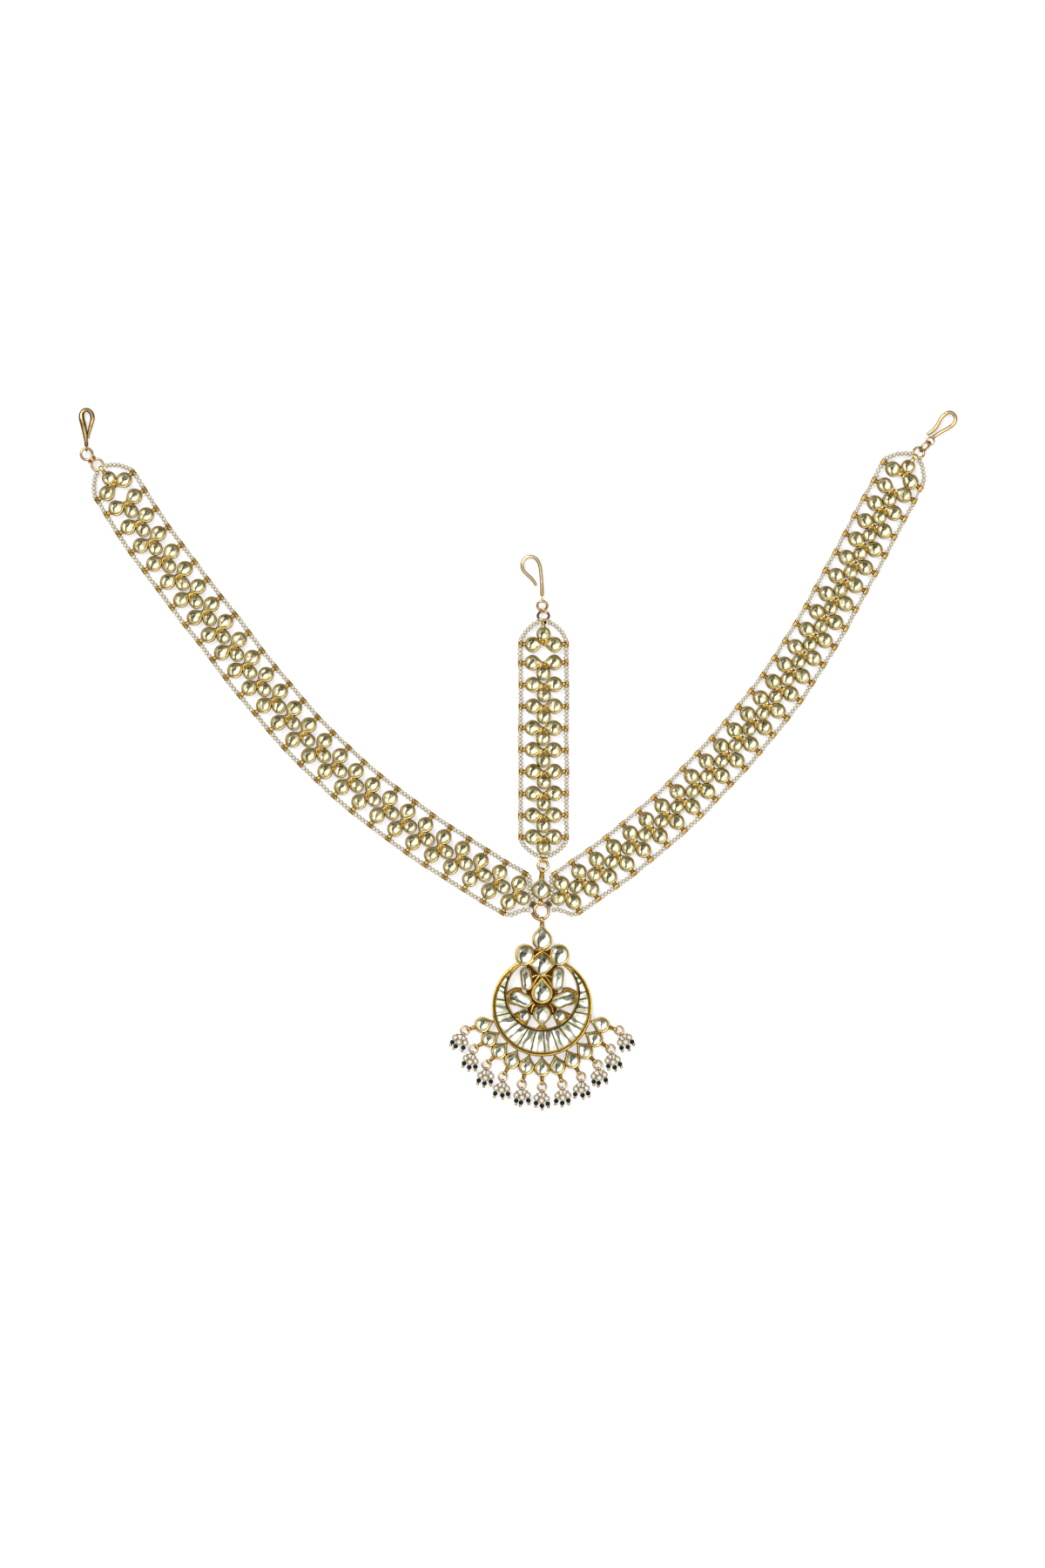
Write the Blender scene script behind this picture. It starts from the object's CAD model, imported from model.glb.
"""A matha patti laid flat: three bands of kundan links edged with seed pearls, a pear-shaped
connector, and a crescent pendant with eleven drops.

Sizes are in millimetres and in degrees, from the same named values as the CAD source, and the
helpers turn them into metres. Angles count from +X, and the camera looks straight down.
"""
import math
import random
from dataclasses import dataclass

import bmesh
import bpy
from mathutils import Matrix, Vector


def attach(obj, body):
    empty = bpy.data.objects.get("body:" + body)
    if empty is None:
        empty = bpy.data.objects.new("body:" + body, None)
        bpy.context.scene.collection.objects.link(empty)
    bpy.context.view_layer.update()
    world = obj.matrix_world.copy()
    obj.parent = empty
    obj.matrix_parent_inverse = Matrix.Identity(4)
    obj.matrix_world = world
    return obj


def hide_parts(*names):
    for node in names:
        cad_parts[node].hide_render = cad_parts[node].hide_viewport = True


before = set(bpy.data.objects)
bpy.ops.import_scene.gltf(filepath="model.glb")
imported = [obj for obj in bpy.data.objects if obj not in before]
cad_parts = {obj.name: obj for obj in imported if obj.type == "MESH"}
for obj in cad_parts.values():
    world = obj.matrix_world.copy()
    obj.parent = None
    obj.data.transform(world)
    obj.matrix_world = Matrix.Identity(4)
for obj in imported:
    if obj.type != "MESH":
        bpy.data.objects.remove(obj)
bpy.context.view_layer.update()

MM = 0.001
chance = random.Random(11)


# ---- finishes

class Value:
    """A number or colour in a finish. Arithmetic on it adds Math nodes."""

    def __init__(self, finish, socket):
        self.finish = finish
        self.socket = socket

    def _math(self, operation, *values):
        return self.finish.node("ShaderNodeMath", {"operation": operation},
                                dict(enumerate(values)))

    def __add__(self, other):
        return self._math("ADD", self, other)

    __radd__ = __add__

    def __sub__(self, other):
        return self._math("SUBTRACT", self, other)

    def __rsub__(self, other):
        return self._math("SUBTRACT", other, self)

    def __mul__(self, other):
        return self._math("MULTIPLY", self, other)

    __rmul__ = __mul__

    def step(self, low, high):
        """0 below low and 1 above high, with a smooth rise between them."""
        return self.finish.node(
            "ShaderNodeMapRange", {"interpolation_type": "SMOOTHSTEP", "clamp": True},
            {"Value": self, "From Min": low, "From Max": high, "To Min": 0.0, "To Max": 1.0})


class Nodes:
    """The nodes of a material or of the sky, and the shader that they feed."""

    def __init__(self, owner, shader, **values):
        owner.use_nodes = True
        self.tree = owner.node_tree
        self.shader = self.tree.nodes[shader]
        for socket, value in values.items():
            self.shader.inputs[socket.replace("_", " ")].default_value = value

    def node(self, kind, settings=None, inputs=None, output=0):
        """Adds a node: first its settings or its ramp's stops, then its sockets' values or
        links."""
        made = self.tree.nodes.new(kind)
        for name, value in (settings or {}).items():
            if name == "stops":
                for stop, (position, colour) in zip(made.color_ramp.elements, value):
                    stop.position, stop.color = position, colour
            else:
                setattr(made, name, value)
        for name, value in (inputs or {}).items():
            if isinstance(value, Value):
                self.tree.links.new(value.socket, made.inputs[name])
            else:
                made.inputs[name].default_value = value
        return Value(self, made.outputs[output])

    def feed(self, socket, value):
        self.tree.links.new(value.socket, self.shader.inputs[socket])

    def split(self, vector, axis):
        """One of a vector's three numbers."""
        return self.node("ShaderNodeSeparateXYZ", inputs={0: vector}, output=axis)


class Finish(Nodes):
    """A material of one shader."""

    def __init__(self, name, **shader):
        self.material = bpy.data.materials.new(name)
        super().__init__(self.material, "Principled BSDF", **shader)

    def place(self):
        """Object coordinates, in metres."""
        return self.node("ShaderNodeTexCoord", output="Object")

    def laid(self, name):
        """A pattern's place on the piece, from the UV map of that name."""
        return self.node("ShaderNodeUVMap", {"uv_map": name})

    def crown(self):
        """How far the surface faces up, as the piece's own UV map keeps it."""
        return self.split(self.laid("crown"), 0)

    def noise(self, spot, scale, detail=2.0, distortion=0.0):
        return self.node("ShaderNodeTexNoise", {"noise_dimensions": "3D"},
                         {"Vector": spot, "Scale": scale, "Detail": detail,
                          "Distortion": distortion})

    def mix(self, share, first, second):
        """The colour first where share is 0, and second where it is 1."""
        first, second = (colour if isinstance(colour, Value) else rgb(*colour)
                         for colour in (first, second))
        return self.node("ShaderNodeMix", {"data_type": "RGBA"},
                         {0: share, 6: first, 7: second}, output=2)

    def bump(self, height, distance, strength):
        bump = self.node("ShaderNodeBump", inputs={
            "Height": height, "Distance": distance, "Strength": strength})
        self.feed("Normal", bump)


def rgb(red, green, blue):
    """A colour as it looks on a screen, 0 to 255, as the shader wants it."""
    levels = [level / 255 for level in (red, green, blue)]
    return (*[level / 12.92 if level <= 0.04045 else ((level + 0.055) / 1.055) ** 2.4
              for level in levels], 1.0)


PATCH_SCALE, SCRATCH_SCALE = 420.0, 3600.0


def gold(name, bright, warm, deep, deep_at, bright_at):
    """Polished gold that goes brown low down, where hands don't rub it. Heights in mm."""
    finish = Finish(name, Metallic=1.0)
    spot = finish.place()
    height = finish.split(spot, 2) * (1 / MM)
    patches = finish.noise(spot, PATCH_SCALE, 3.0)
    rise = (height + (patches - 0.5) * 0.9).step(deep_at, bright_at)
    top = (height + (patches - 0.5) * 0.5).step(bright_at - 0.5, bright_at + 0.5)
    return polish(finish, spot, patches, rise, top, bright, warm, deep)


def wire_finish(name, bright, warm, deep, deep_at, bright_at):
    """Gold wire, bright along its back and brown along its sides."""
    finish = Finish(name, Metallic=1.0)
    spot = finish.place()
    patches = finish.noise(spot, PATCH_SCALE, 3.0)
    crown = finish.crown() + (patches - 0.5) * 0.35
    rise = crown.step(deep_at, bright_at)
    top = crown.step(bright_at - 0.1, 1.05)
    return polish(finish, spot, patches, rise, top, bright, warm, deep)


def polish(finish, spot, patches, rise, top, bright, warm, deep):
    """Deep gold that turns warm with rise and bright with top, with patches and scratches."""
    colour = finish.mix(rise, deep, warm)
    finish.feed("Base Color", finish.mix(top, colour, bright))
    finish.feed("Roughness", patches * 0.22 + 0.1)
    finish.bump(finish.noise(spot, SCRATCH_SCALE) * 0.5 + patches * 0.5, 0.00006, 0.5)
    return finish.material


link_gold = gold("link_gold", (250, 230, 152), (192, 152, 75), (84, 54, 18), 0.8, 2.15)
pendant_gold = gold("pendant_gold", (246, 220, 134), (192, 149, 66), (84, 52, 18), 0.6, 2.3)
lac_gold = gold("lac_gold", (200, 150, 68), (134, 82, 34), (54, 24, 10), 0.7, 2.1)
wire_gold = wire_finish("wire_gold", (253, 240, 190), (214, 180, 114), (104, 74, 34), 0.15, 0.85)
rose_gold = wire_finish("rose_gold", (252, 230, 178), (204, 158, 92), (74, 44, 20), 0.2, 0.9)
brown_gold = wire_finish("brown_gold", (250, 220, 162), (192, 142, 80), (60, 34, 16), 0.25, 0.9)
hook_gold = wire_finish("hook_gold", (253, 228, 160), (176, 124, 52), (44, 24, 8), 0.35, 0.95)


def foil_glass(name, pale, straw, shade, dark, line=0.85):
    """Clear stone over foil. What the foil throws back is laid on each stone: a dark wedge that
    hangs from the top and narrows to a streak, and bright glass on both sides of it."""
    finish = Finish(name, Metallic=0.0, Roughness=0.08, Coat_Weight=0.4, Coat_Roughness=0.03,
                    IOR=1.5, Emission_Strength=0.6)
    flat, own, facing = finish.laid("foil"), finish.laid("chance"), finish.crown()
    first, second = finish.split(own, 0), finish.split(own, 1)
    across, along = finish.split(flat, 0), finish.split(flat, 1)
    shifted = finish.node("ShaderNodeVectorMath", {"operation": "MULTIPLY_ADD"},
                          {0: own, 1: (37.0, 53.0, 0.0), 2: flat})
    wave = finish.noise(shifted, 1.3, 1.0, 0.2)
    crinkle = finish.noise(shifted, 3.4, 2.0, 0.8)
    x = across + (wave - 0.5) * 0.5 + (crinkle - 0.5) * 0.1 + (first - 0.5) * 0.3
    y = along + (crinkle - 0.5) * 0.25 + (second - 0.5) * 0.3

    # the wedge, between its two sides, its top and its foot
    room = y.step(-0.95, -0.55) * (1.0 - y.step(0.62, 0.95))
    left = (x + 0.36 - y * 0.08).step(-0.06, 0.06)
    reach = y.step(-0.45, 0.5) * 0.62 - 0.16
    right = 1.0 - (x - reach).step(-0.1, 0.08)
    depth = first.step(0.0, 0.35) * 0.3 + 0.7
    wedge = left * right * room * depth
    seam_x = x + 0.26 - y * 0.08
    seam = (1.0 - (seam_x * seam_x).step(0.001, 0.011)) * room * depth
    blots = crinkle.step(0.44, 0.62) * y.step(-0.1, 0.25) * wedge
    # the brightest glass, beside the wedge's foot
    glow_x, glow_y = x - 0.3, y + 0.25
    glow = 1.0 - (glow_x * glow_x + glow_y * glow_y).step(0.03, 0.2)
    # the stone's edge, which shades most at the top
    edge = 1.0 - facing.step(0.55, 0.9)
    rim = (1.0 - facing.step(0.5, 0.68)) * (along.step(-0.8, 0.7) * 0.6 + 0.4)
    top = (along + (wave - 0.5) * 0.5).step(0.3, 0.8)
    foot = 1.0 - (along + (wave - 0.5) * 0.5).step(-0.9, -0.6)

    dull = wave.step(0.38, 0.62) * (1.0 - glow)
    colour = finish.mix(dull * 0.8, pale, straw)
    colour = finish.mix(edge * 0.7, colour, straw)
    colour = finish.mix((top * 0.75 + foot * 0.4) * (crinkle * 0.8 + 0.4), colour, shade)
    colour = finish.mix(wedge * (0.7 + crinkle * 0.3), colour, shade)
    colour = finish.mix(seam * line, colour, dark)
    colour = finish.mix(blots * 0.9, colour, dark)
    colour = finish.mix(rim * 0.9, colour, dark)
    finish.feed("Base Color", colour)
    # foil throws light back through the bright glass
    lit = (1.0 - wedge) * (1.0 - edge) * (1.0 - top * 0.9) * (1.0 - dull) * (glow * 0.5 + 0.5)
    finish.feed("Emission Color", finish.mix(lit, (0, 0, 0), pale))
    finish.bump(wave, 0.0002, 0.25)
    return finish.material


band_foil = foil_glass("band_foil", (255, 248, 208), (182, 166, 94), (84, 78, 38), (26, 24, 8))
clear_foil = foil_glass("clear_foil", (255, 255, 244), (194, 188, 142), (104, 104, 76),
                        (38, 38, 24))
pane_foil = foil_glass("pane_foil", (255, 255, 246), (196, 190, 146), (112, 110, 82),
                       (50, 48, 30), 0.3)


def bead(name, glint, light, shade, **shader):
    """A bead: a small glint on its crown, and darker round its side and towards its underside."""
    finish = Finish(name, **shader)
    spot = finish.place()
    crown = finish.crown() + (finish.noise(spot, 900.0, 1.0) - 0.5) * 0.25
    colour = finish.mix(crown.step(0.25, 0.85), shade, light)
    colour = finish.mix(crown.step(0.84, 1.0), colour, glint)
    finish.feed("Base Color", colour)
    finish.bump(finish.noise(spot, 2500.0, 1.0), 0.00004, 0.4)
    return finish.material


seed_pearl = bead("seed_pearl", (255, 246, 228), (222, 212, 180), (122, 108, 76),
                  Roughness=0.24, Coat_Weight=0.6, Coat_Roughness=0.1)
drop_pearl = bead("drop_pearl", (255, 250, 236), (214, 198, 158), (72, 52, 26),
                  Roughness=0.2, Coat_Weight=0.8, Coat_Roughness=0.06)
smoky_glass = bead("smoky_glass", (190, 176, 140), (150, 126, 88), (74, 50, 28),
                   Roughness=0.1, Specular_IOR_Level=0.3, Coat_Weight=0.15, Coat_Roughness=0.04)
green_glass = bead("green_glass", (26, 60, 30), (10, 28, 12), (3, 7, 3),
                   Roughness=0.25, Specular_IOR_Level=0.08)


# ---- modelling

def unit(degrees):
    return Vector((math.cos(math.radians(degrees)), math.sin(math.radians(degrees))))


def metres(x, y, z=0.0):
    return Vector((x, y, z)) * MM


def rotation(angle, axis="Z", size=4):
    return Matrix.Rotation(math.radians(angle), size, axis)


@dataclass
class Outline:
    """A stone's outline: a circle, spread along its own Y, then drawn out to points.

    Each point is a direction, how far the circle is pulled that way, and how far the pull
    reaches along it.
    """

    radius: float
    points: list = ()
    spread: float = 0.0
    sides: int = 20

    def less(self, wall):
        share = (self.radius - wall) / self.radius
        points = [(way, pull * share, reach * share) for way, pull, reach in self.points]
        return Outline(self.radius * share, points, self.spread, self.sides)


def pear(radius, tip, sides=20):
    return Outline(radius, [(90, tip - radius, 0.73 * radius)], sides=sides)


def select(kind, wanted):
    """Selects the vertices, edges or faces of the open piece that are wanted, and no others."""
    bpy.ops.mesh.select_mode(type={"verts": "VERT", "edges": "EDGE", "faces": "FACE"}[kind])
    bpy.ops.mesh.select_all(action="DESELECT")
    mesh = bpy.context.edit_object.data
    form = bmesh.from_edit_mesh(mesh)
    for part in getattr(form, kind):
        if wanted(part):
            part.select_set(True)
    form.select_flush_mode()
    bmesh.update_edit_mesh(mesh)


def select_all():
    bpy.ops.mesh.select_all(action="SELECT")


def pick(*pieces):
    """Selects pieces, and makes the first one active."""
    bpy.ops.object.select_all(action="DESELECT")
    for piece in pieces:
        piece.select_set(True)
    bpy.context.view_layer.objects.active = pieces[0]


def add(kind, at, turn=(0, 0, 0), **sizes):
    """Adds a primitive at its place and opens it, with nothing else selected."""
    bpy.ops.object.select_all(action="DESELECT")
    getattr(bpy.ops.mesh, f"primitive_{kind}_add")(
        location=metres(*at), rotation=[math.radians(angle) for angle in turn], **sizes)
    bpy.ops.object.mode_set(mode="EDIT")
    return bpy.context.object


def ball(at, radius, segments, rings, turn=(0, 0, 0)):
    return add("uv_sphere", at, turn, segments=segments, ring_count=rings, radius=radius * MM)


def rod(at, turn, sides, radius, length):
    return add("cylinder", at, turn, vertices=sides, radius=radius * MM, depth=length * MM,
               end_fill_type="NGON")


def hoop(at, turn, radius, thick, segments, sides):
    return add("torus", at, turn, major_segments=segments, minor_segments=sides,
               major_radius=radius * MM, minor_radius=thick * MM)


def close():
    """Leaves edit mode and puts the piece's place into its mesh."""
    piece = bpy.context.edit_object
    bpy.ops.object.mode_set(mode="OBJECT")
    bpy.ops.object.transform_apply(location=True, rotation=True, scale=True)
    return piece


def extrude(x, y, z=0.0):
    """Draws what is selected out by that much."""
    bpy.ops.mesh.extrude_region_move(TRANSFORM_OT_translate={"value": metres(x, y, z)})


def cut_away(wanted):
    """Deletes the faces that are wanted, and closes the ends."""
    select("faces", wanted)
    bpy.ops.mesh.delete(type="FACE")
    select_all()
    bpy.ops.mesh.fill_holes(sides=0)


def stretch(sizes, middle=(0, 0, 0)):
    """Stretches what is selected about a middle."""
    bpy.ops.transform.resize(value=sizes, center_override=metres(*middle))


def stretch_all(sizes, middle=(0, 0, 0)):
    select_all()
    stretch(sizes, middle)


def prism(outline, low, high, at, turn):
    """An outline raised from low to high, about its middle and turned."""
    piece = rod((*at, (low + high) / 2), (0, 0, turn), outline.sides, outline.radius, high - low)
    turned = rotation(turn, size=3)
    for side in (1, -1) if outline.spread else ():
        select("verts", lambda v: side * v.co.y > 0.05 * MM)
        bpy.ops.transform.translate(value=turned @ metres(0, side * outline.spread))
    for direction, pull, reach in outline.points:
        way = unit(direction).to_3d()
        form = bmesh.from_edit_mesh(piece.data)
        farthest = max(v.co.dot(way) for v in form.verts)
        select("verts", lambda v: v.co.dot(way) > farthest - 0.01 * MM)
        bpy.ops.transform.translate(
            value=turned @ (way * pull * MM), use_proportional_edit=True,
            proportional_edit_falloff="SHARP", proportional_size=reach * MM)
    return piece


def plate(corners, low, high):
    """A flat form drawn corner by corner, filled, and raised from low to high."""
    piece = add("plane", (0, 0, low), size=1 * MM)
    bpy.ops.mesh.select_mode(type="VERT")
    select_all()
    bpy.ops.mesh.merge(type="CENTER")
    bpy.ops.transform.translate(value=metres(*corners[0]))
    for here, there in zip(corners, corners[1:]):
        bpy.ops.mesh.extrude_vertices_move(
            TRANSFORM_OT_translate={"value": metres(*there) - metres(*here)})
    select_all()
    bpy.ops.mesh.edge_face_add()
    extrude(0, 0, high - low)
    select_all()
    bpy.ops.mesh.normals_make_consistent(inside=False)
    return piece


def cap(up):
    """Selects the top or the bottom of a prism."""
    select("faces", lambda f: f.normal.z * up > 0.9)


def upright(edge):
    """Whether an edge of a prism stands up, as at its corners."""
    return abs((edge.verts[0].co - edge.verts[1].co).z) > 0.9 * edge.calc_length()


def inset(steps):
    """Insets the selected face again and again: how far in, and how far out along its normal."""
    for inward, outward in steps:
        bpy.ops.mesh.inset(thickness=inward * MM, depth=outward * MM)


def rise(middle, steps):
    """Raises the selected face again and again: the share kept of its size, and how far up."""
    for share, up in steps:
        extrude(0, 0, up)
        stretch((share, share, 1), middle)


# The sharpest edges, in degrees, that still look round
METAL_EDGE, STONE_EDGE, RING_EDGE, BEAD_EDGE = 40, 30, 50, 60


def smooth(piece, angle=METAL_EDGE):
    pick(piece)
    bpy.ops.object.shade_smooth_by_angle(angle=math.radians(angle))


def named(piece, name):
    piece.name = piece.data.name = name
    return piece


def join(name, pieces):
    pick(*pieces)
    bpy.ops.object.join()
    return named(pieces[0], name)


def copied(form, x, y, turn, z=0.0):
    """A copy with its own mesh, turned about the origin and then moved."""
    copy = form.copy()
    copy.data = form.data.copy()
    bpy.context.collection.objects.link(copy)
    copy.data.transform(Matrix.Translation(metres(x, y, z)) @ rotation(turn))
    return copy


def dress(piece, material, slot, *nodes):
    """Gives a finished piece its material and its place in the frame, and keeps how far each of
    its corners faces up, for light backs and dark sides."""
    crown = piece.data.uv_layers.new(name="crown")
    for loop in piece.data.loops:
        crown.data[loop.index].uv = (piece.data.vertices[loop.vertex_index].normal.z, 0.5)
    piece.data.materials.clear()
    piece.data.materials.append(material)
    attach(piece, "root")
    if nodes:
        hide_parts(*nodes)


def finished(piece, angle, material, slot, *nodes):
    """Smooths and dresses a piece that is in its place."""
    smooth(piece, angle)
    dress(piece, material, slot, *nodes)


# A collet's flank and its rim: the share of their width, and of the height, at each step
FLANK = [(0.12, 0.2), (0.3, 0.2), (0.38, 0.12), (0.2, 0.03)]
COLLET_RIM = [(0.4, 0.03), (0.35, -0.02), (0.2, -0.08)]


def setting(outline, height, at, turn, rim, flank):
    """A stone's collet: a flank that slopes up from a rounded foot, a rim and a sunk seat."""
    prism(outline, 0.2 * height, 0.42 * height, at, turn)
    cap(1)
    inset([(share * flank, up * height) for share, up in FLANK]
          + [(rim * share, up * height) for share, up in COLLET_RIM] + [(0.02, -0.3 * height)])
    cap(-1)
    inset([(0.1, 0.12 * height), (0.14, 0.08 * height)])
    return close()


def stone(outline, low, girdle, top, at, turn=0):
    """A foil-backed stone: a straight girdle, two rows of facets and a low domed table."""
    crown = top - girdle
    prism(outline, low, girdle, at, turn)
    cap(1)
    rise((*at, 0), [(0.88, 0.45 * crown), (0.7, 0.43 * crown), (0.6, 0.12 * crown)])
    return close()


def wire(path, radius, sides, steps, thickness=()):
    """Round wire through the points, with closed ends, and with its own thickness at each."""
    bpy.ops.object.select_all(action="DESELECT")
    bpy.ops.curve.primitive_bezier_curve_add(enter_editmode=True)
    bpy.ops.curve.select_all(action="SELECT")
    bpy.ops.curve.delete(type="VERT")
    for point in path:
        bpy.ops.curve.vertex_add(location=metres(*point))
    bpy.ops.curve.select_all(action="SELECT")
    bpy.ops.curve.handle_type_set(type="AUTOMATIC")
    bpy.ops.object.mode_set(mode="OBJECT")
    curve = bpy.context.object.data
    for point, share in zip(curve.splines[0].bezier_points, thickness):
        point.radius = share
    curve.resolution_u = steps
    curve.bevel_depth = radius * MM
    curve.bevel_resolution = sides // 2 - 2
    curve.use_fill_caps = True
    bpy.context.object.select_set(True)
    bpy.ops.object.convert(target="MESH")
    bpy.ops.object.mode_set(mode="EDIT")
    select_all()
    bpy.ops.mesh.remove_doubles(threshold=0.001 * MM)
    bpy.ops.mesh.normals_make_consistent(inside=False)
    return close()


def ring(radius, thick, segments=32, gap=0.0):
    """A jump ring flat at the origin, cut open by a gap in degrees at its left."""
    hoop((0, 0, 0), (0, 0, 0), radius, thick, segments, 10)
    if gap:
        cut_away(lambda f: f.calc_center_median().to_2d().angle_signed(
            Vector((-1, 0))) ** 2 < math.radians(gap / 2) ** 2)
    return close()


def put(piece, at, turn=0, *tilts):
    """Tilts a piece about X and Y, turns it about Z, and moves it to its place."""
    place = Matrix.Translation(metres(*at)) @ rotation(turn)
    for angle, axis in tilts:
        place = place @ rotation(angle, axis)
    piece.data.transform(place)
    return piece


def lay_foil(piece, x, y, radius, turn=0.0, longer=1.0):
    """Lays the foil's pattern round the middle of a stone, upright or turned from upright, and
    as much longer as it says, with chance values of the stone's own."""
    foil = piece.data.uv_layers.new(name="foil")
    own = piece.data.uv_layers.new(name="chance")
    values = (chance.random(), chance.random())
    spin = Matrix.Rotation(math.radians(-turn), 2)
    for loop in piece.data.loops:
        spot = spin @ (piece.data.vertices[loop.vertex_index].co.to_2d() / MM - Vector((x, y)))
        foil.data[loop.index].uv = (spot.x / radius, spot.y / radius / longer)
        own.data[loop.index].uv = values


# ---- bands of links

# Heading of each band: link number, heading
LEFT_HEADINGS = [(0, 150), (4, 146.5), (8, 141), (12, 132.5), (16, 127.5), (21, 127.5), (26, 121)]
RIGHT_HEADINGS = [(0, 33.5), (4, 39), (8, 46), (12, 50.5), (16, 58.5), (20, 62), (26, 62)]
CROWN_HEADINGS = [(0, 90), (1, 90)]

SETTING_H = 2.2
CROWN_H = 0.8
RIM = 0.3
PEAR_AT = (3.5, 0.1)
LINK_PEAR = Outline(2.58, [(90, 1.0, 1.95)])
ROUND_BACK = 3.35
LINK_ROUND = Outline(2.36)
NECK_SIDE = 6.2
TUBE_SIDE = 7.4
TUBE_Z = 1.1
TUBE_LEN = 1.9
TUBE_SIDES = 14
END_LUG = 7.2
# How far each link strays from its band's line: aside in mm and round in degrees, as a wave
# with so many degrees from one link to the next
WOBBLE_SIDE, WOBBLE_SIDE_STEP = 0.1, 97
WOBBLE_TURN, WOBBLE_TURN_STEP = 0.9, 61


def read_off(table, k):
    """The value at k between a table's rows."""
    for (k0, value0), (k1, value1) in zip(table, table[1:]):
        if k <= k1:
            return value0 + (value1 - value0) * max(k - k0, 0) / (k1 - k0)
    return table[-1][1]


def band(start, headings, count, pitches, end_gap, end_turn):
    """Each link's middle and turn, from the connector outwards."""
    spots = [Vector(start)]
    for k in range(1, count):
        pitch = pitches[0] + (pitches[1] - pitches[0]) * (k - 1) / (count - 2)
        reach = end_gap if k == count - 1 else pitch
        spots.append(spots[-1] + reach * unit(read_off(headings, k - 0.5)))
    links = []
    for k, spot in enumerate(spots):
        last = k == count - 1
        turn = read_off(headings, k)
        turn += end_turn if last else WOBBLE_TURN * math.sin(math.radians(WOBBLE_TURN_STEP * k))
        aside = 0 if k == 0 or last else (
            WOBBLE_SIDE * math.sin(math.radians(WOBBLE_SIDE_STEP * k)))
        links.append((spot + aside * unit(turn + 90), turn))
    return links


def in_link(link, x, y):
    """A point across and along a link, as the band lies."""
    return link[0] + y * unit(link[1]) + x * unit(link[1] - 90)


left_band = band((-9, -2), LEFT_HEADINGS, 27, (7.16, 7.16), 6.1, 7)
right_band = band((8.15, -2), RIGHT_HEADINGS, 27, (6.95, 6.55), 5.5, -8)
crown_band = band((0.56, 15.9), CROWN_HEADINGS, 10, (7, 7), 6, 0)


def neck(side):
    """A waisted stub from a pear's setting to its thread tube."""
    middle = (side * NECK_SIDE, 0, TUBE_Z)
    rod(middle, (0, 90, 0), 12, 0.7, 0.2)
    for end in (1, -1):
        cap(end)
        for out, sizes in [(0.22, (1, 1.15, 1.1)), (0.28, (1, 1.08, 1))]:
            extrude(end * out, 0)
            stretch(sizes, middle)
    return close()


def thread_tube(side):
    """A short open tube with rolled lips."""
    middle = (side * TUBE_SIDE, 0, TUBE_Z)
    rod(middle, (90, 0, 0), TUBE_SIDES, 0.74, 1.1)
    for end in (1, -1):
        cap(end)
        extrude(0, -end * 0.18)
        stretch((1.09, 1, 1.09), middle)
        extrude(0, -end * 0.14)
        inset([(0.05, 0.08), (0.1, 0.0), (0.04, -0.1)])
    select("faces", lambda f: abs(f.normal.z) > 0.9 and len(f.verts) == TUBE_SIDES)
    bpy.ops.mesh.bridge_edge_loops()
    return close()


def joint():
    """The gold between the three settings: a saddle, and a V that runs down beside the round."""
    middle = (0, -0.6, 0.95)
    ball(middle, 1, 12, 6)
    stretch_all((1.7, 1.15, 0.95), middle)
    parts = [close()]
    for side in (1, -1):
        middle = (side * 0.85, -0.95, 1.35)
        ball(middle, 1, 10, 6)
        stretch_all((0.42, 1.55, 0.72), middle)
        form = close()
        form.data.transform(Matrix.Translation(metres(*middle))
                            @ rotation(side * 38)
                            @ Matrix.Translation(-metres(*middle)))
        parts.append(form)
    return parts


LUG_WIRE = 0.2


def end_loop(y, root, z, radius, tilt, stub, wide):
    """A lug that stands on edge, and the stub that carries it from its root."""
    hoop((0, y, z), (0, 90 + tilt, 0), radius - LUG_WIRE, LUG_WIRE, 20, 8)
    select_all()
    spin = rotation(90 + tilt, "Y", 3)
    bpy.ops.transform.resize(value=(1, 1, wide), orient_matrix=spin, orient_type="LOCAL",
                             center_override=metres(0, y, z))
    lug = close()
    side = 1 if root > y else -1
    rod((0, y + side * (radius - 0.05), z - 0.3), (90, 0, 0), 10, stub, 0.2)
    cap(-side)
    extrude(0, root - y - side * radius)
    stretch((1.35, 1, 1.1), (0, root, z - 0.3))
    return lug, close()


def link_form(name, tilt=None):
    """One link's metal, with a lug for the jump ring where a tilt is given."""
    parts = [setting(LINK_PEAR, SETTING_H, (side * PEAR_AT[0], PEAR_AT[1]), 90 * side, RIM, 0.34)
             for side in (1, -1)]
    parts.append(setting(LINK_ROUND, SETTING_H, (0, -ROUND_BACK), 0, RIM, 0.26))
    parts += joint()
    for side in (1, -1):
        parts += [neck(side), thread_tube(side)]
    if tilt is not None:
        parts += end_loop(-END_LUG, -5.3, 1.8, 1.05, tilt, 0.62, 3.2)
    form = join(name, parts)
    smooth(form)
    return form


plain_link = link_form("plain_link")
side_end_link = link_form("side_end_link", 0)
crown_end_link = link_form("crown_end_link", 35)

GIRDLE_BELOW = 0.06
FOIL_R = 1.95
link_stones = [
    (stone(outline, 1.3, SETTING_H - GIRDLE_BELOW, SETTING_H + CROWN_H, (0, 0), turn), at)
    for outline, turn, at in [(LINK_PEAR.less(0.57), 90, PEAR_AT),
                              (LINK_PEAR.less(0.57), -90, (-PEAR_AT[0], PEAR_AT[1])),
                              (LINK_ROUND.less(0.46), 0, (0, -ROUND_BACK))]]
for form, _ in link_stones:
    smooth(form, STONE_EDGE)


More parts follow.
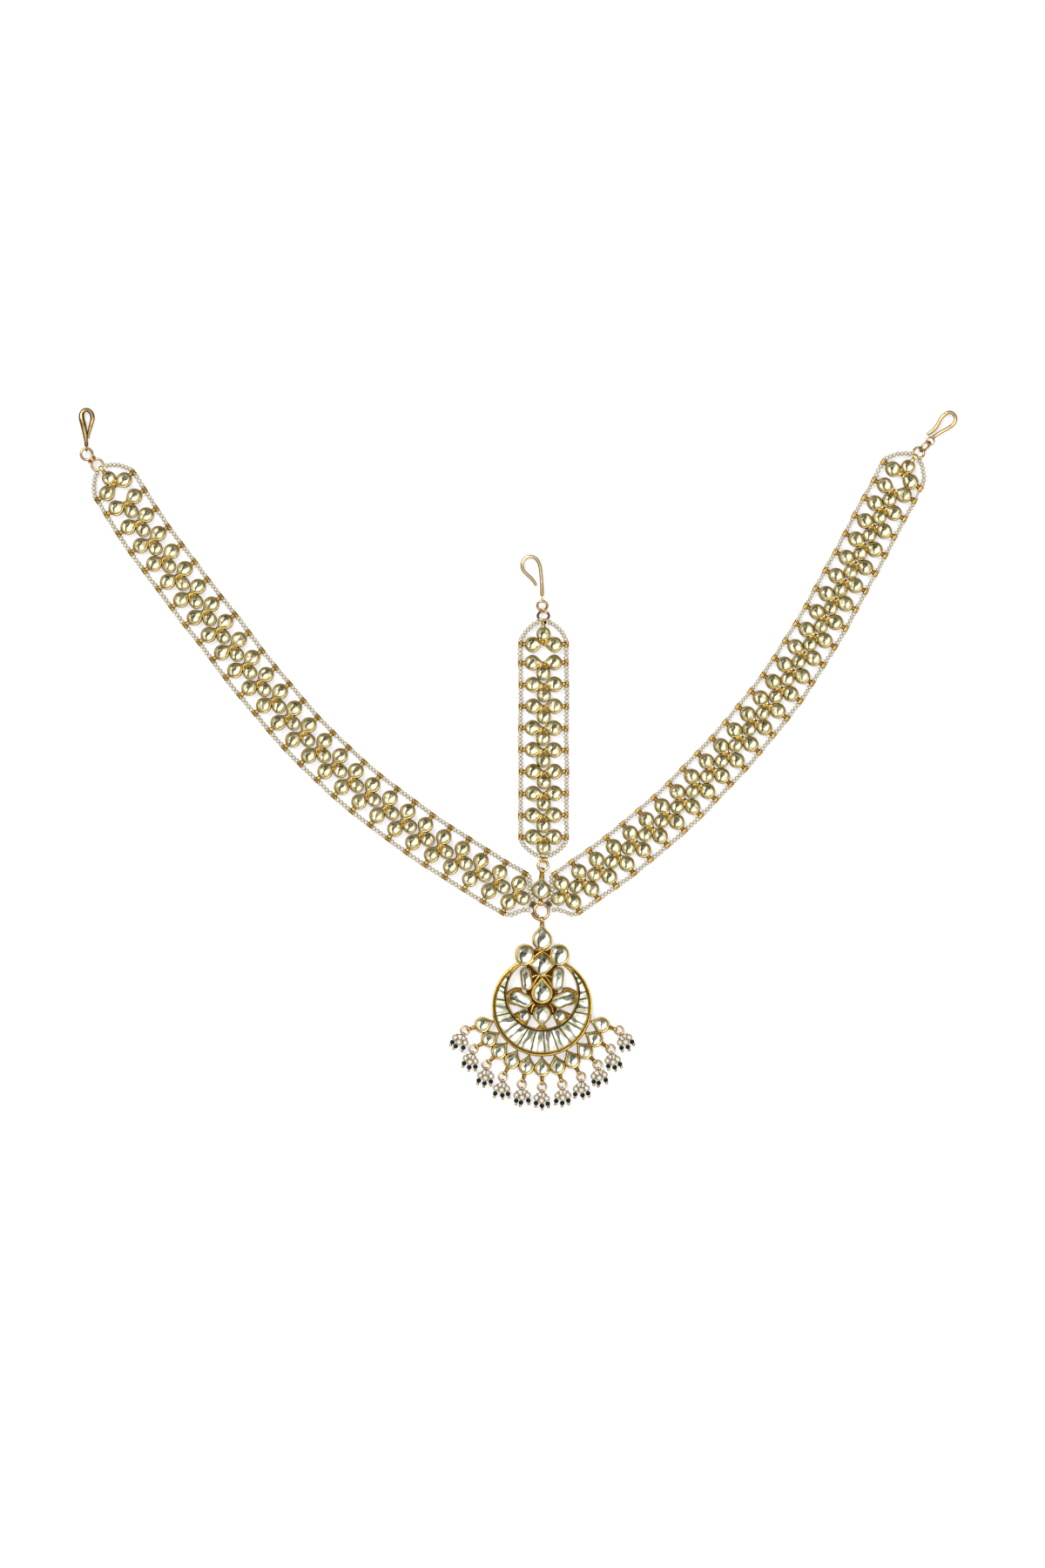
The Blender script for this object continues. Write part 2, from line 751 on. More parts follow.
def build_band(name, links, end_link, nodes):
    """A band's metal and stones. The foil of a pear that points down leans with the pear."""
    metal, stones = [], []
    for k, link in enumerate(links):
        last = k == len(links) - 1
        turn = link[1] - 90 + (180 if last else 0)
        metal.append(copied(end_link if last else plain_link, *link[0], turn))
        for form, at in link_stones:
            spot = link[0] + Matrix.Rotation(math.radians(turn), 2) @ Vector(at)
            copy = copied(form, *spot, turn)
            tip = (turn + (180 if at[0] > 0 else 0)) % 360
            lean = 0.4 * (tip - 270) if at[0] and 200 < tip < 340 else 0
            lay_foil(copy, *spot, FOIL_R, lean + chance.uniform(-8, 8))
            stones.append(copy)
    dress(join(f"{name}_settings", metal), link_gold, "gold", nodes[0])
    dress(join(f"{name}_kundan", stones), band_foil, "band_stone", *nodes[1:])


build_band("left_band", left_band, side_end_link, ["left_band_links"])
build_band("right_band", right_band, side_end_link, ["right_band_links"])
build_band("crown_band", crown_band, crown_end_link, ["crown_band_links", "crown_band_stones"])


# ---- seed-pearl strings

# Where a string runs from a band's end to its lug
END_WAY = [(6.4, 3.2), (4.6, 5.3), (2.5, 6.9), (1.3, 7.2)]
SEED_PITCH = 1.3


def seed_form():
    """A seed pearl with its hole along X, a little flat where it was drilled."""
    ball((0, 0, 0), 0.84, 10, 6, (0, 90, 0))
    stretch_all((0.8, 1, 1))
    form = close()
    smooth(form, BEAD_EDGE)
    return form


def along(path, distance):
    """The point that far along a path, and the heading there."""
    for a, b in zip(path, path[1:]):
        leg = (b - a).length
        if distance <= leg:
            break
        distance -= leg
    way = (b - a).normalized()
    return a + way * distance, math.degrees(math.atan2(way.y, way.x))


def fill_run(path, count=None):
    """Spots for pearls that fill a path from end to end."""
    length = sum((b - a).length for a, b in zip(path, path[1:]))
    count = count or max(round(length / SEED_PITCH), 1)
    return [(*along(path, (i + 0.5) * length / count), length / count) for i in range(count)]


def string_of_pearls(name, links, side, way, node):
    """A string along one edge of a band: four pearls between two tubes, three before the last."""
    way = [Vector(spot) for spot in way]
    half = TUBE_LEN / 2
    spots = fill_run(way + [in_link(links[0], side * TUBE_SIDE, -half)])
    for near, far in zip(links, links[1:]):
        last = far is links[-1]
        spots += fill_run([in_link(near, side * TUBE_SIDE, half),
                           in_link(far, side * TUBE_SIDE, -half)], 3 if last else 4)
    spots += fill_run([in_link(links[-1], side * TUBE_SIDE, half)]
                      + [in_link(links[-1], side * x, y) for x, y in END_WAY])
    pearls = []
    for spot, heading, room in spots:
        size = min(room / SEED_PITCH, 1.02) * chance.uniform(0.95, 1.0)
        long = min(room / SEED_PITCH, 1.15) * 0.97
        spot = spot + unit(heading + 90) * chance.uniform(-0.08, 0.08)
        pearl = copied(seed, 0, 0, 0)
        pearl.data.transform(
            Matrix.Translation(metres(*spot, TUBE_Z + chance.uniform(-0.06, 0.06)))
            @ rotation(heading + chance.uniform(-8, 8))
            @ Matrix.Diagonal((long, size * chance.uniform(0.96, 1.02), size, 1)))
        pearls.append(pearl)
    dress(join(name, pearls), seed_pearl, "pearl", node)


seed = seed_form()
# Each string's band and edge, its side, and where it runs from the connector to its band
for band_name, edge, links, side, way in [
        ("left", "upper", left_band, 1,
         [(-2.9, -5), (-3.15, -3.3), (-3.8, -1), (-3.8, 1.2), (-4, 2.9)]),
        ("left", "lower", left_band, -1,
         [(-3.75, -7.6), (-5.6, -7.4), (-7.6, -8.2), (-9.8, -9)]),
        ("right", "upper", right_band, -1,
         [(2.2, -5.2), (2.6, -3.1), (3.1, -2.1), (3.45, -1.2), (3.1, 0.6), (3, 2.2)]),
        ("right", "lower", right_band, 1,
         [(3.2, -7.6), (5, -7.3), (7.2, -8), (9.4, -8.9)]),
        ("crown", "left", crown_band, -1,
         [(-0.3, 9.75), (-2, 10.3), (-3.9, 11.4), (-5.6, 13.1)]),
        ("crown", "right", crown_band, 1,
         [(1, 9.75), (2.9, 10.1), (4.9, 11.2), (6.7, 12.9)])]:
    string_of_pearls(f"{band_name}_{edge}_pearls", links, side, way, f"{band_name}_string_{edge}")

for form in [plain_link, side_end_link, crown_end_link, seed] + [f for f, _ in link_stones]:
    bpy.data.objects.remove(form)


# ---- connector and its rings

CONNECTOR_AT = (-0.25, -1.1)
CONNECTOR_TURN = -3
CONNECTOR_H = 2.6
CONNECTOR_PEAR = pear(3.05, 4.4)
LOOP_Z = 1.3
CLEAR_TOP = 0.9
UPPER_LOOP, LOWER_LOOP = 6.35, -4.1

parts = [setting(CONNECTOR_PEAR, CONNECTOR_H, (0, 0), 0, 0.32, 0.42)]
parts += end_loop(UPPER_LOOP, 3.4, LOOP_Z, 0.95, 0, 0.72, 3.9)
parts += end_loop(LOWER_LOOP, -2.2, LOOP_Z, 1.0, 0, 0.6, 3.9)
finished(put(join("connector_collet", parts), (*CONNECTOR_AT, 0), CONNECTOR_TURN), METAL_EDGE,
         pendant_gold, "gold", "connector_setting")

connector_stone = put(
    stone(CONNECTOR_PEAR.less(0.66), 1.4, CONNECTOR_H - GIRDLE_BELOW, CONNECTOR_H + CLEAR_TOP,
          (0, 0)), (*CONNECTOR_AT, 0), CONNECTOR_TURN)
lay_foil(connector_stone, CONNECTOR_AT[0], CONNECTOR_AT[1] + 0.4, 2.4)
finished(named(connector_stone, "connector_pear"), STONE_EDGE, clear_foil, "clear_stone",
         "connector_stone")


# Two squared beads of brownish glass, where the side bands' strings come in beside the loop
parts = []
for at, turn in [((-2.95, -5.75, 1.1), -28), ((2.1, -5.55, 1.1), 34)]:
    add("cube", (0, 0, 0), size=1.9 * MM)
    stretch_all((1, 1.25, 0.9))
    bpy.ops.mesh.bevel(offset=0.4 * MM, segments=3, affect="EDGES")
    cap(1)
    inset([(0.18, 0.12), (0.12, -0.05)])
    parts.append(put(close(), at, turn))
finished(join("crimp_beads", parts), METAL_EDGE, smoky_glass, "clear_stone")


def jump_ring(name, node, at, radius, thick, turn=0, tilt=0, gap=0.0, oval=1.0):
    """A ring in its place: pressed oval, tilted about its own X and turned about Z."""
    piece = ring(radius, thick, gap=gap)
    piece.data.transform(Matrix.Diagonal((1, oval, 1, 1)))
    finished(named(put(piece, at, turn, (tilt, "X")), name), RING_EDGE,
             brown_gold if at[2] > 1.5 else wire_gold, "gold", node)


upper_hole, lower_hole = (Vector(CONNECTOR_AT) + loop * unit(90 + CONNECTOR_TURN)
                          for loop in (UPPER_LOOP, LOWER_LOOP))
upper_ring = upper_hole + Vector((0.3, 1.58))
lower_ring = lower_hole + 2.6 * unit(-86)
jump_ring("upper_ring", "connector_ring_upper", (*upper_ring, LOOP_Z), 1.62, 0.46)

# The lower ring's wire runs past its own start, and winds inwards and upwards as it goes
path = [(*(lower_ring + (2.86 - 0.0021 * gone) * unit(190 + gone)), 1.05 + 0.0014 * gone)
        for gone in range(0, 450, 30)]
finished(named(wire(path, 0.5, 10, 3), "lower_ring"), RING_EDGE, brown_gold, "gold",
         "connector_ring_lower")

# The gold bead that gathers the crown band's strings on the upper ring
bead_form = thread_tube(0)
bead_form.data.transform(Matrix.Scale(1.22, 4))
finished(named(put(bead_form, (0.6, 8.65, 0.0), 82), "gathering_bead"), METAL_EDGE,
         pendant_gold, "gold")


# ---- pendant

PENDANT_AT = (0.08, -38.36)
PENDANT_H = 2.7
CRESCENT_R = 16.2
CRESCENT_RIM = 1.2
INNER_AT = Vector((0, 4.1))
OPENING_R = 11.3
INNER_R = 11.9
PANE_BORDERS = [-138, -116, -99, -78, -55, -32, -14, 3.5, 20.5, 38.5, 59, 80, 100, 121, 138]
RIM_PEARS = 11
RIM_STEP = 14.5
RIM_PEAR_OUT = 20.1
NECK_AT = 24.6
DROP_Z = 1.05
# The rims stop behind the flower: within this of its middle, and above this
OPEN_SIDE, OPEN_FROM = 4.5, 13.2


def rim_angle(k):
    return -90 + RIM_STEP * (k - RIM_PEARS // 2)


def on_pendant(piece):
    return put(piece, (*PENDANT_AT, 0))


TOP = pear(3.35, 5.2, 24)
ROUND = Outline(3.3, spread=0.3, sides=24)
RHOMBUS = Outline(3.19, [(0, 1.21, 2.44), (180, 1.21, 2.44), (90, 0.91, 2.44), (270, 0.91, 2.44)],
                  sides=24)
LEAF = Outline(2.05, spread=1.85, sides=24)
CENTRE = pear(3.7, 5.6, 28)
PETAL = Outline(2.5, [(90, 0.55, 1.7), (270, 0.2, 1.5)], 1.45, sides=26)
LOWER = pear(3.1, 4.9, 24)
DOT = Outline(2.25, sides=20)
RIM_PEAR = pear(2.7, 4.15)

# Outline, place, turn, width of the gold, the piece's name and the node that it stands for
FLOWER = [
    (TOP, (0, 21.4), 0, 0.68, "top_pear", "stone_top"),
    (ROUND, (-5.55, 16.45), 0, 0.78, "left_round", "stone_round_left"),
    (ROUND, (5.55, 16.45), 0, 0.7, "right_round", "stone_round_right"),
    (RHOMBUS, (0, 13.3), 0, 0.6, "rhombus", "stone_rhombus"),
    (LEAF, (-5.0, 8.8), 7, 0.55, "left_leaf", "stone_leaf_left"),
    (LEAF, (5.0, 8.8), -7, 0.42, "right_leaf", "stone_leaf_right"),
    (CENTRE, (0, 4.2), 0, 1.05, "centre_pear", "stone_centre"),
    (PETAL, (-6.9, 2.2), 68, 0.5, "left_petal", "stone_petal_left"),
    (PETAL, (6.9, 2.2), -68, 0.5, "right_petal", "stone_petal_right"),
    (LOWER, (0, -2.45), 180, 0.5, "lower_pear", "stone_lower"),
    (DOT, (-5.75, -3.2), 0, 0.55, "left_dot", "stone_dot_left"),
    (DOT, (5.75, -3.2), 0, 0.55, "right_dot", "stone_dot_right"),
]

# Lower metal between the settings, for the right half
WEBS = [
    [(-0.1, 18.6), (2.4, 18.6), (5, 13), (5.2, 4.6), (4.2, 2.4), (-0.1, 2)],
    [(-0.1, 2.2), (4.2, 2.4), (4, 2), (4.9, -0.6), (3.9, -2.7), (-0.1, -4)],
    [(6, 4), (6.6, 6), (8.8, 6.1), (10.9, 5), (11.6, 4), (9, 2)],
    [(10, 3), (11.5, 2.5), (11.3, 1), (10, 0.5), (8, 0)],
    [(5.75, -3.2), (7.2, -1.4), (9.9, -2.8), (8.2, -5.2), (5.1, -6.9), (3.9, -4.2)],
    [(-0.1, -5.4), (1.5, -6.5), (1.8, -7.4), (-0.1, -7.5)],
]


def rim_band(centre, radius, width, height, segments, milled=0.0):
    """A round-topped wall along a circle, left open behind the flower, and milled if wanted."""
    hoop((*centre, height / 2), (0, 0, 0), radius, width / 2, segments, 12)
    stretch_all((1, 1, height / width), (*centre, height / 2))
    if milled:
        step = 2 * math.pi / segments
        select("verts", lambda v: round(math.atan2(v.co.y, v.co.x) / step) % 2 == 0)
        bpy.ops.transform.shrink_fatten(value=-milled * MM)
    cut_away(lambda f: abs(f.calc_center_median().x / MM + centre[0]) < OPEN_SIDE
             and f.calc_center_median().y / MM + centre[1] > OPEN_FROM)
    return close()


def inner_reach(angle, radius):
    """How far the inner circle lies from the pendant's middle at an angle."""
    rise = INNER_AT.y * math.sin(math.radians(angle))
    return rise + math.sqrt(rise * rise - INNER_AT.y ** 2 + radius * radius)


def crescent_floor():
    """The thin plate under the crescent's stones."""
    angles = [PANE_BORDERS[0] - 90 + 6 * i for i in range(47)]
    corners = [(CRESCENT_R - 0.7) * unit(angle) for angle in angles]
    corners += [inner_reach(angle, OPENING_R + 0.3) * unit(angle) for angle in reversed(angles)]
    plate(corners, 0.3, 1.2)
    return close()


def pear_edge(at, radius, tip, count):
    """Evenly spaced points along a pear's outline."""
    lean = math.degrees(math.asin(radius / tip))
    around = radius * math.radians(180 + 2 * lean)
    straight = math.sqrt(tip * tip - radius * radius)
    points = []
    for i in range(count):
        way = i * (around + 2 * straight) / count
        if way < around:
            spot = radius * unit(180 - lean + math.degrees(way / radius))
        elif way < around + straight:
            share = (way - around) / straight
            spot = radius * unit(lean) * (1 - share) + Vector((0, tip)) * share
        else:
            share = (way - around - straight) / straight
            spot = Vector((0, tip)) * (1 - share) + radius * unit(180 - lean) * share
        points.append(Vector(at) + spot)
    return points


parts = [setting(outline, PENDANT_H, at, turn, 0.5 * gold_width, 0.5 * gold_width)
         for outline, at, turn, gold_width, _, _ in FLOWER]
for k in range(RIM_PEARS):
    angle = rim_angle(k)
    parts.append(setting(RIM_PEAR, PENDANT_H - 0.2, RIM_PEAR_OUT * unit(angle), angle + 90,
                         0.36, 0.4))
    parts += [put(piece, (0, 0, 0), angle + 90)
              for piece in end_loop(-NECK_AT, -22.3, DROP_Z + 0.25, 0.85, 0, 0.62, 2.8)]
parts += end_loop(27.75, 25.3, LOOP_Z, 1.0, 0, 0.68, 3.2)
finished(on_pendant(join("pendant_settings", parts)), METAL_EDGE, pendant_gold, "gold",
         "pendant_frame")

parts = [rim_band((0, 0), CRESCENT_R - 0.4, 0.94, PENDANT_H, 280, 0.06),
         rim_band((0, 0), CRESCENT_R - 1.12, 0.42, PENDANT_H + 0.02, 96),
         rim_band(INNER_AT, 11.62, 0.85, PENDANT_H + 0.05, 96),
         crescent_floor()]
finished(on_pendant(join("pendant_crescent", parts)), BEAD_EDGE, link_gold, "gold")

bead_form = ball((0, 0, 0), 0.29, 8, 6)
stretch_all((1, 1, 1.2))
close()
parts = [copied(bead_form, *spot, 0, PENDANT_H + 0.02)
         for spot in pear_edge((0, 4.2), 3.2, 4.9, 46)]
finished(on_pendant(join("beaded_rim", parts)), BEAD_EDGE, pendant_gold, "gold")
bpy.data.objects.remove(bead_form)

for name, shapes, top, finish in [("pendant_lac", WEBS[:2], 1.5, lac_gold),
                                  ("pendant_webs", WEBS[2:], 1.9, pendant_gold)]:
    parts = []
    for corners in shapes:
        middle_x, middle_y = (sum(axis) / len(corners) for axis in zip(*corners))
        for side in (1, -1):
            plate([(side * x, y) for x, y in corners][::side], 0.2, top)
            select("edges", upright)
            bpy.ops.mesh.bevel(offset=0.45 * MM, segments=3, affect="EDGES", clamp_overlap=True)
            cap(1)
            rise((side * middle_x, middle_y), [(0.93, 0.12), (0.9, -0.25)])
            parts.append(close())
    finished(on_pendant(join(name, parts)), METAL_EDGE, finish, "gold")

# Ridges that cross the lac between the rims, for the right half
RIDGES = [
    [(-0.4, 17.7), (0.8, 17.2), (2.2, 16.1), (3.6, 14.7)],
    [(0.2, 18.2), (1.3, 18.0), (2.3, 18.5)],
    [(0.0, 9.9), (0.9, 9.6), (2.2, 8.0), (3.1, 6.3)],
    [(0.2, 9.5), (1.2, 9.9), (2.2, 9.8), (3.2, 9.2)],
    [(2.4, 0.6), (3.0, -0.1), (3.3, -0.9), (3.5, -1.9)],
    [(2.9, 1.2), (3.6, 0.5), (4.6, 0.1)],
]
parts = [wire([(side * x, y, 2.1) for x, y in path], 0.26, 8, 3)
         for path in RIDGES for side in (1, -1)]
finished(on_pendant(join("pendant_ridges", parts)), BEAD_EDGE, pendant_gold, "gold")

for outline, at, turn, gold_width, name, node in FLOWER:
    piece = on_pendant(stone(outline.less(gold_width - 0.04), 1.5, PENDANT_H - GIRDLE_BELOW,
                             PENDANT_H + CLEAR_TOP, at, turn))
    narrow = outline is LEAF or outline is PETAL
    lay_foil(piece, PENDANT_AT[0] + at[0], PENDANT_AT[1] + at[1], outline.radius * 0.95,
             turn if narrow else 0, 1.7 if narrow else 1.1)
    finished(named(piece, name), STONE_EDGE, clear_foil, "clear_stone", node)

parts = []
for start, end in zip(PANE_BORDERS, PANE_BORDERS[1:]):
    start, end = start - 90 + 0.35, end - 90 - 0.35
    angles = [start + (end - start) * i / 4 for i in range(5)]
    corners = [(CRESCENT_R - CRESCENT_RIM - 0.05) * unit(angle) for angle in angles]
    corners += [inner_reach(angle, INNER_R + 0.2) * unit(angle) for angle in reversed(angles)]
    plate(corners, 1.3, PENDANT_H - 0.15)
    cap(1)
    middle = sum(corners, Vector((0, 0))) / len(corners)
    rise((*middle, 0), [(0.9, 0.35), (0.84, 0.25), (0.75, 0.08)])
    pane = on_pendant(close())
    lay_foil(pane, *(middle + Vector(PENDANT_AT)), 2.0, 0.5 * (start + end) + 90, 2.2)
    parts.append(pane)
finished(join("crescent_panes", parts), STONE_EDGE, pane_foil, "clear_stone",
         "crescent_stones")

parts = []
for k in range(RIM_PEARS):
    angle = rim_angle(k)
    at = RIM_PEAR_OUT * unit(angle)
    piece = on_pendant(stone(RIM_PEAR.less(0.72), 1.3, PENDANT_H - 0.26, PENDANT_H + 0.6, at,
                             angle + 90))
    lay_foil(piece, PENDANT_AT[0] + at.x, PENDANT_AT[1] + at.y, FOIL_R)
    parts.append(piece)
finished(join("rim_pears", parts), STONE_EDGE, clear_foil, "clear_stone", "rim_stones")


# ---- drops

DROP_RING_R = 1.35
# How far a drop turns outwards, from the middle one to the outermost
SPLAY = [0, 0, 3, 6, 13, 28]
PEARL_R = 1.1
GREEN_R = 0.8
GREEN_OUT = 1.72
HEAD_R = 0.5
HEAD_OUT = 2.75

# How the three pins lie in a drop: each pearl's middle, and the lean of its pin. The middle
# pearl lies on the two others.
CLUSTERS = [
    [((-1.70, -3.50, 1.12), -8), ((-0.15, -4.35, 2.35), 4), ((1.45, -3.75, 1.12), 13)],
    [((-1.65, -3.55, 1.12), -5), ((0.10, -4.20, 2.35), -13), ((1.85, -3.45, 1.12), 8)],
    [((-1.85, -3.80, 1.12), -12), ((-0.15, -4.25, 2.35), 9), ((1.50, -3.75, 1.12), 15)],
    [((-1.50, -3.65, 1.12), -15), ((0.15, -4.30, 2.35), -5), ((1.80, -3.50, 1.12), 5)],
]


def pin_way(middle, lean):
    """Which way a pin runs on from its pearl: a raised pin dips back to the ground."""
    dip = 0.2 if middle[2] > 2 else 0.0
    return Vector((*-unit(90 + lean), -dip)).normalized()


def bead_on_pin(radius, spot, lean, segments, rings):
    """A drilled bead, a little flat round its hole."""
    ball((0, 0, 0), radius, segments, rings, (90, 0, 0))
    select("verts", lambda v: abs(v.co.z) > 0.92 * radius * MM)
    stretch((1, 0.88, 1))
    return put(close(), spot, lean)


def pin_form(middle, lean):
    """A ball-headed pin: its eye on the ring, its bend, the wrap on the pearl and its head."""
    way = pin_way(middle, lean)
    middle = Vector(middle)
    outward = math.copysign(1, middle.x) if abs(middle.x) > 1 else 0
    hang = Vector((0.34 * outward + 0.05, -DROP_RING_R, DROP_Z))
    shoulder = middle - way * (PEARL_R + 0.05)
    head = middle + way * HEAD_OUT
    parts = [put(ring(0.52, 0.17, 14), hang, 32 * outward, (75, "Y")),
             wire([hang + Vector((0.16 * outward, -0.5, 0)),
                   (hang + shoulder) / 2 + Vector((0.3 * outward, -0.28, 0.1)),
                   shoulder, head], 0.16, 8, 3)]
    parts += [put(ring(0.26, 0.13, 12), shoulder - way * back, lean, (90, "X"))
              for back in (0, 0.22)]
    ball(head, HEAD_R, 12, 8)
    stretch_all((1, 1.1, 1), head)
    return parts + [close()]


forms = []
for cluster in CLUSTERS:
    pins = join("pins", [part for middle, lean in cluster for part in pin_form(middle, lean)])
    pearls = join("pearls", [bead_on_pin(PEARL_R, middle, lean, 20, 12)
                             for middle, lean in cluster])
    greens = join("greens", [
        bead_on_pin(GREEN_R, Vector(middle) + pin_way(middle, lean) * GREEN_OUT, lean, 14, 8)
        for middle, lean in cluster])
    forms.append((pins, pearls, greens))
    for form in forms[-1]:
        smooth(form, BEAD_EDGE)

drop_ring = put(ring(DROP_RING_R, 0.33, 28, gap=9), (0, 0, DROP_Z))
smooth(drop_ring, RING_EDGE)
rings, pins, pearls, greens = [], [], [], []
for k in range(RIM_PEARS):
    at = Vector(PENDANT_AT) + (NECK_AT + DROP_RING_R) * unit(rim_angle(k))
    out = k - RIM_PEARS // 2
    turn = math.copysign(SPLAY[abs(out)], out)
    rings.append(copied(drop_ring, *at, turn + chance.uniform(-60, 60)))
    for kept, form in zip((pins, pearls, greens), forms[(3 * k + 1) % len(forms)]):
        kept.append(copied(form, *at, turn))
dress(join("drop_loops", rings), rose_gold, "gold", "drop_rings")
dress(join("drop_wires", pins), rose_gold, "gold", "drop_pins")
dress(join("drop_pearl_beads", pearls), drop_pearl, "pearl", "drop_pearls")
dress(join("drop_glass_beads", greens), green_glass, "green_bead", "drop_green_beads")
for form in [drop_ring] + [form for variant in forms for form in variant]:
    bpy.data.objects.remove(form)


# ---- rings and hooks at the ends

# Each hook's line from its eye, and how thick its wire is at those points
SIDE_HOOK = [(0, 0), (0.3, 1.1), (1.1, 3.4), (1.95, 5.6), (2.35, 7.4), (2, 8.9), (0.65, 9.9),
             (-0.9, 9.6), (-1.7, 8.2), (-1.9, 6.3), (-1.55, 4.35), (-1.4, 2.3), (-1.65, 0.8),
             (-2.15, -0.6)]
NARROW_HOOK = [(0, 0), (-0.1, 1.2), (-0.35, 3.6), (-0.8, 6.2), (-1.25, 8.5), (-0.95, 10.1),
               (0.3, 10.9), (1.6, 10.2), (2.25, 8.6), (1.85, 6.6), (1.2, 4.5), (0.75, 2.9),
               (0.6, 1.7)]
NARROW_WIRE = [0.5, 0.66, 0.86, 0.95, 0.95, 0.8, 0.66, 0.72, 0.76, 0.7, 0.6, 0.48, 0.38]
CROWN_HOOK = [(0, 0), (-0.18, 2.8), (-0.4, 5.1), (-0.66, 6.9), (-1.2, 8.5), (-2.2, 9.7),
              (-3.65, 10.15), (-5.1, 9.7), (-6.05, 8.65), (-6.4, 7.25), (-6.05, 5.8),
              (-5, 4.55), (-3.65, 3.3), (-2.6, 2.05), (-1.95, 0.8)]
CHAIN_Z = 1.8
BEND_Z = 1.05
COLLAR_TOP = 0.5
COIL_PITCH = 0.3


def hook(name, node, finish, base, direction, way, widths, eye_at, eye_tilt, eye_radius):
    """A hook of tapered wire that slopes down to its bend, its eye and its wrapped collar."""
    far = max(range(len(way)), key=lambda i: way[i][1])
    path = [(x, y, (BEND_Z - CHAIN_Z) * min(i / far, 1)) for i, (x, y) in enumerate(way)]
    parts = [wire(path, 1, 14, 4, widths),
             put(ring(eye_radius, 0.3, 24), (0, eye_at, 0), 0, (eye_tilt, "Y"))]
    top, low = COLLAR_TOP, eye_at + eye_radius - 0.15
    parts.append(wire([(0, top, 0), (0, (top + low) / 2, 0), (0, low, 0)], 0.42, 12, 2))
    turns = round((top - low) / COIL_PITCH)
    parts += [put(ring(0.5, 0.17, 16), (0, top + (low - top) * (i + 0.5) / turns, 0), 0, (90, "X"))
              for i in range(turns)]
    finished(put(join(name, parts), (*base, CHAIN_Z), direction - 90), RING_EDGE, finish,
             "gold", node)


def end_hole(links):
    return in_link(links[-1], 0, END_LUG)


left_ring = end_hole(left_band) + 1.9 * unit(137)
left_joining = left_ring + 2.375 * unit(135)
left_eye = left_ring + 4.75 * unit(135)
left_base = left_eye + 3.4 * unit(92)
jump_ring("left_band_ring", "left_ring_band", (*left_ring, CHAIN_Z), 1.85, 0.4, 47, -8, 8)
jump_ring("left_joining_ring", "left_ring_joining", (*left_joining, CHAIN_Z), 1.25, 0.34, 45, 90)
jump_ring("left_eye_ring", "left_ring_eye", (*left_eye, CHAIN_Z), 1.85, 0.42, 45, 0, 8)
hook("left_wire_hook", "left_hook", hook_gold, left_base, 92, NARROW_HOOK, NARROW_WIRE,
     -1.5, 90, 0.8)

right_ring = end_hole(right_band) + 1.75 * unit(50)
right_joining = right_ring + 2.9 * unit(44)
right_base = right_joining + 2.4 * unit(44) + 1.6 * unit(54.6)
jump_ring("right_band_ring", "right_ring_band", (*right_ring, CHAIN_Z), 1.75, 0.4, -40, -15, 8)
jump_ring("right_joining_ring", "right_ring_joining", (*right_joining, CHAIN_Z), 1.95, 0.44,
          44, 50, oval=0.66)
hook("right_wire_hook", "right_hook", brown_gold, right_base, 51, SIDE_HOOK,
     [0.58] * (len(SIDE_HOOK) - 2) + [0.55, 0.46], -1.6, 0, 1.2)

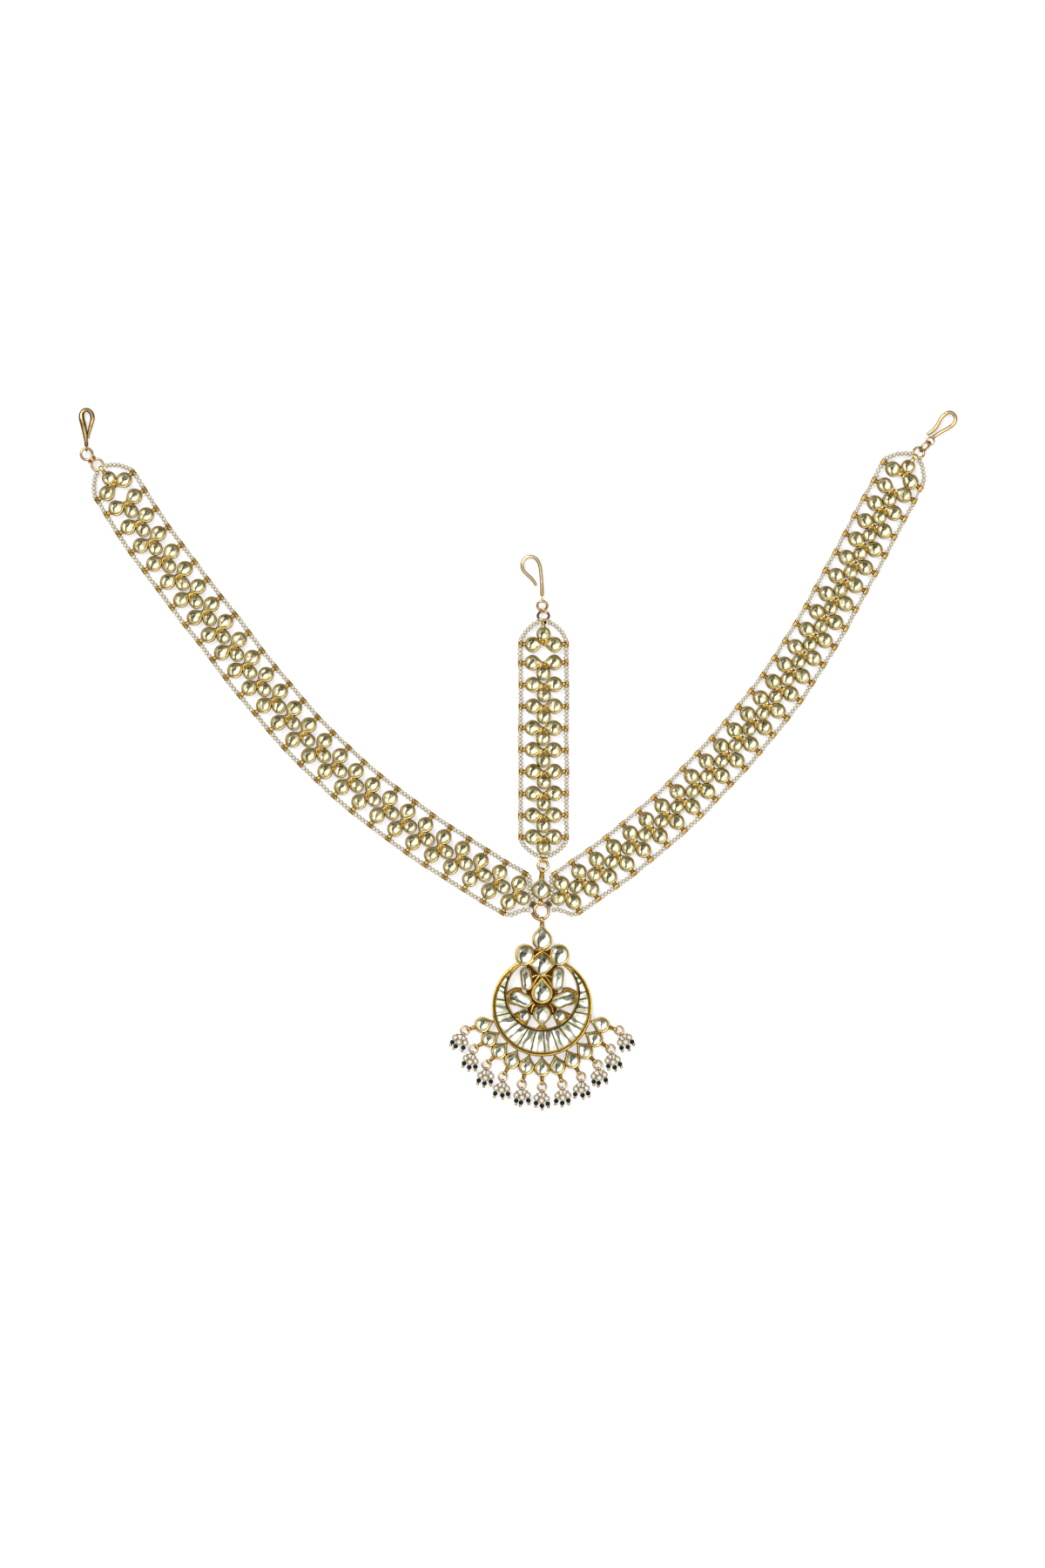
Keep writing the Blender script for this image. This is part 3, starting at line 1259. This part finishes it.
crown_ring = end_hole(crown_band) + 1.9 * unit(92)
crown_second = crown_ring + 3.15 * unit(96) + Vector((0, 0.15))
jump_ring("crown_band_ring", "crown_ring_band", (*crown_ring, CHAIN_Z), 1.8, 0.42, 2, -35, 8)
jump_ring("crown_hook_ring", "crown_ring_hook", (*crown_second, CHAIN_Z), 1.6, 0.42, 2, 25, 8)
hook("crown_wire_hook", "crown_hook", wire_gold, crown_second + Vector((-0.1, 5.7)), 90,
     CROWN_HOOK, [0.58] * (len(CROWN_HOOK) - 2) + [0.54, 0.46], -3.4, 90, 1.1)


# ---- floor, light and camera

floor_finish = Finish("floor", Roughness=0.9, Specular_IOR_Level=0.1,
                      Emission_Color=(1.0, 1.0, 1.0, 1.0), Emission_Strength=0.6)
floor_finish.feed("Base Color", floor_finish.mix(
    floor_finish.noise(floor_finish.place(), 3.0), (208, 208, 208), (214, 214, 214)))
bpy.ops.mesh.primitive_plane_add(size=6, location=(0, 0, -0.0002))
floor = bpy.context.object
floor.name = "floor"
bpy.ops.object.transform_apply(location=True)
floor.data.materials.append(floor_finish.material)

# The middle of the photograph's frame
MIDDLE = metres(-6.2, 33.0)


def softbox(name, at, size, power):
    """A soft light that looks at the middle. Its place and size are in metres."""
    bpy.ops.object.light_add(type="AREA", location=at)
    light = bpy.context.object
    light.name = name
    light.data.shape = "RECTANGLE"
    light.data.size, light.data.size_y = size
    light.data.energy = power
    light.rotation_euler = (MIDDLE - Vector(at)).to_track_quat("-Z", "Y").to_euler()


softbox("key_light", (-0.9, 1.1, 1.7), (1.4, 0.9), 24)
softbox("fill_light", (1.3, -0.5, 1.5), (1.2, 1.2), 10)
softbox("low_light", (0.1, -1.4, 0.9), (1.6, 0.5), 5)

# White overhead and dim towards the horizon, so that upright gold has something to mirror
world = bpy.data.worlds.new("studio")
sky = Nodes(world, "Background", Strength=0.7)
up = sky.split(sky.node("ShaderNodeTexCoord", output="Generated"), 2)
sky.feed("Color", sky.node("ShaderNodeValToRGB", {
    "stops": [(0.25, (0.085, 0.078, 0.05, 1)), (0.9, (1, 1, 1, 1))]}, {0: up}))
bpy.context.scene.world = world
bpy.context.scene.view_settings.view_transform = "Standard"

bpy.ops.object.camera_add(location=MIDDLE + Vector((0, 0, 2.8)), rotation=(0, 0, 0))
camera = bpy.context.object
camera.name = "camera"
camera.data.lens = 200
camera.data.sensor_fit = "VERTICAL"
camera.data.sensor_height = 36
camera.data.clip_end = 20
bpy.context.scene.camera = camera
